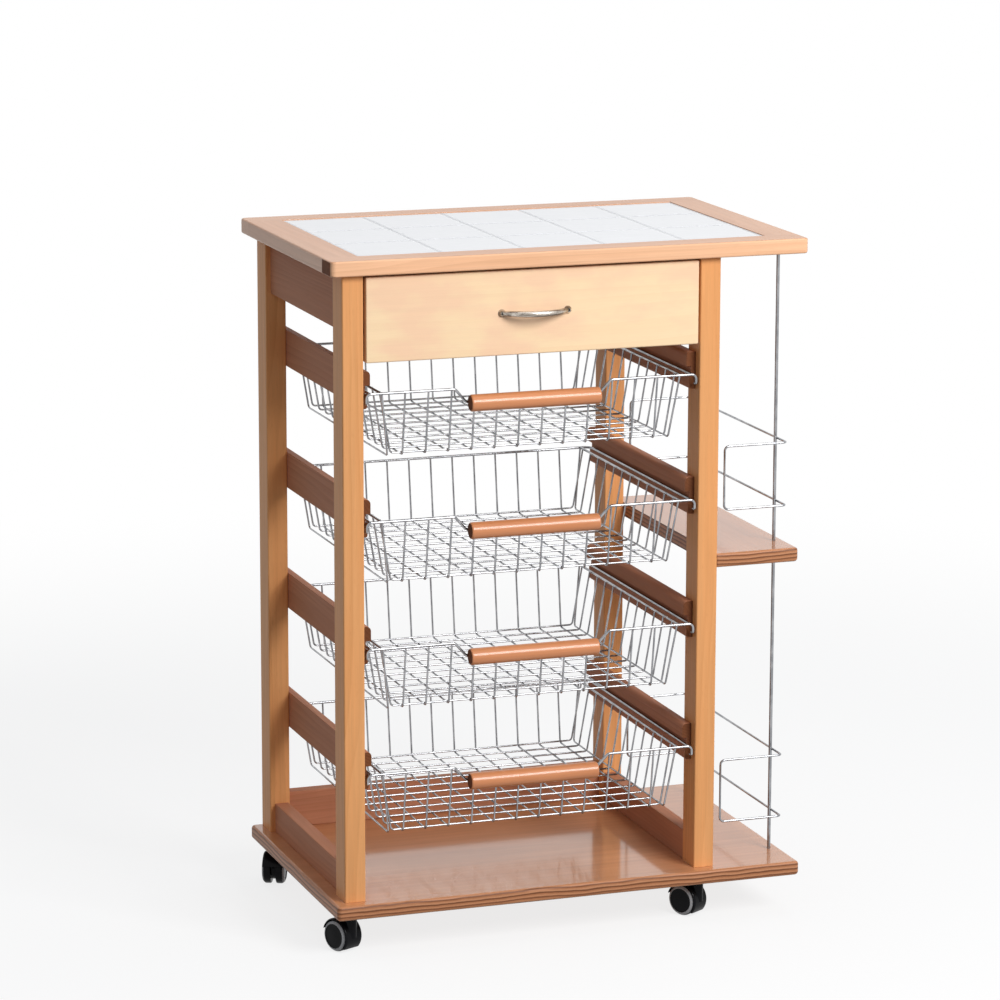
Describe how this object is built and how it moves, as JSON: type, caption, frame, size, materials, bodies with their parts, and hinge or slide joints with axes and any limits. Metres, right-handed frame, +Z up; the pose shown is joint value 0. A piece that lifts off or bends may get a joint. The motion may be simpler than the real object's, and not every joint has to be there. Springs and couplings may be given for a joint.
{
  "type": "serving cart",
  "caption": "Wooden serving cart on swivel casters with a tiled top, a drawer, wire baskets on grooved runners, and open end shelves with chrome guard rails and rods.",
  "frame": {"origin": "on the floor, under the middle of the cart's overall width and depth", "axes": "+Z up; -Y towards the side with the drawer front and the grips; +X towards the open end with the shelves"},
  "size_m": [0.648, 0.4248, 0.9115],
  "materials": {
    "honey_pine": "stained and lacquered",
    "brown_pine": "stained and lacquered",
    "pale_wood": "clear lacquer",
    "plywood": "clear lacquer",
    "copper_wood": "turned and lacquered",
    "glazed_tile": "white glazed ceramic",
    "grout": "cement grout",
    "chrome": "bright plated wire",
    "nickel": "satin nickel",
    "steel": "zinc plated",
    "black_nylon": "moulded"
  },
  "bodies": {
    "frame": {"post_front_left": "honey_pine", "post_back_left": "honey_pine", "post_front_right": "honey_pine", "post_back_right": "honey_pine", "apron_left": "brown_pine", "bottom_rail_left": "brown_pine", "apron_right": "brown_pine", "bottom_rail_right": "brown_pine", "apron_back": "brown_pine", "bottom_rail_back": "brown_pine", "base_board": "plywood", "middle_shelf": "plywood", "top_rail_front": "pale_wood", "top_rail_back": "pale_wood", "top_rail_left": "pale_wood", "top_rail_right": "pale_wood", "tile_bed": "plywood", "tiles": "glazed_tile", "grout": "grout", "runner_1_left": "brown_pine", "runner_1_right": "brown_pine", "runner_2_left": "brown_pine", "runner_2_right": "brown_pine", "runner_3_left": "brown_pine", "runner_3_right": "brown_pine", "runner_4_left": "brown_pine", "runner_4_right": "brown_pine", "rod_front": "chrome", "rod_back": "chrome", "guard_low": "chrome", "guard_middle": "chrome", "drawer_strip_left": "brown_pine", "drawer_strip_right": "brown_pine", "caster_sleeves": "steel"},
    "drawer": {"drawer_front": "pale_wood", "drawer_side_left": "pale_wood", "drawer_side_right": "pale_wood", "drawer_back": "pale_wood", "drawer_bottom": "plywood", "drawer_handle": "nickel", "handle_screws": "steel"},
    "basket_1": {"basket_1_wires": "chrome", "basket_1_grip": "copper_wood"},
    "basket_2": {"basket_2_wires": "chrome", "basket_2_grip": "copper_wood"},
    "basket_3": {"basket_3_wires": "chrome", "basket_3_grip": "copper_wood"},
    "basket_4": {"basket_4_wires": "chrome", "basket_4_grip": "copper_wood"},
    "caster_front_left": {"caster_front_left_housing": "black_nylon"},
    "wheels_front_left": {"caster_front_left_wheels": "black_nylon"},
    "caster_back_left": {"caster_back_left_housing": "black_nylon"},
    "wheels_back_left": {"caster_back_left_wheels": "black_nylon"},
    "caster_front_right": {"caster_front_right_housing": "black_nylon"},
    "wheels_front_right": {"caster_front_right_wheels": "black_nylon"},
    "caster_back_right": {"caster_back_right_housing": "black_nylon"},
    "wheels_back_right": {"caster_back_right_wheels": "black_nylon"}
  },
  "joints": [
    {"name": "drawer_slide", "type": "slide", "parent": "frame", "child": "drawer", "axis": [0, -1, 0], "range_m": [0, 0.28]},
    {"name": "basket_1_slide", "type": "slide", "parent": "frame", "child": "basket_1", "axis": [0, -1, 0], "range_m": [0, 0.29]},
    {"name": "basket_2_slide", "type": "slide", "parent": "frame", "child": "basket_2", "axis": [0, -1, 0], "range_m": [0, 0.29]},
    {"name": "basket_3_slide", "type": "slide", "parent": "frame", "child": "basket_3", "axis": [0, -1, 0], "range_m": [0, 0.29]},
    {"name": "basket_4_slide", "type": "slide", "parent": "frame", "child": "basket_4", "axis": [0, -1, 0], "range_m": [0, 0.29]},
    {"name": "swivel_front_left", "type": "hinge", "parent": "frame", "child": "caster_front_left", "pos_m": [-0.292, -0.165, 0.0545], "axis": [0, 0, 1], "continuous": true},
    {"name": "roll_front_left", "type": "hinge", "parent": "caster_front_left", "child": "wheels_front_left", "pos_m": [-0.29918, -0.14959, 0.021], "axis": [-0.9063, -0.4226, 0], "continuous": true},
    {"name": "swivel_back_left", "type": "hinge", "parent": "frame", "child": "caster_back_left", "pos_m": [-0.292, 0.176, 0.0545], "axis": [0, 0, 1], "continuous": true},
    {"name": "roll_back_left", "type": "hinge", "parent": "caster_back_left", "child": "wheels_back_left", "pos_m": [-0.29918, 0.16059, 0.021], "axis": [0.9063, -0.4226, 0], "continuous": true},
    {"name": "swivel_front_right", "type": "hinge", "parent": "frame", "child": "caster_front_right", "pos_m": [0.192, -0.165, 0.0545], "axis": [0, 0, 1], "continuous": true},
    {"name": "roll_front_right", "type": "hinge", "parent": "caster_front_right", "child": "wheels_front_right", "pos_m": [0.18299, -0.15058, 0.021], "axis": [-0.848, -0.5299, 0], "continuous": true},
    {"name": "swivel_back_right", "type": "hinge", "parent": "frame", "child": "caster_back_right", "pos_m": [0.192, 0.176, 0.0545], "axis": [0, 0, 1], "continuous": true},
    {"name": "roll_back_right", "type": "hinge", "parent": "caster_back_right", "child": "wheels_back_right", "pos_m": [0.17937, 0.16462, 0.021], "axis": [0.6691, -0.7431, 0], "continuous": true}
  ]
}
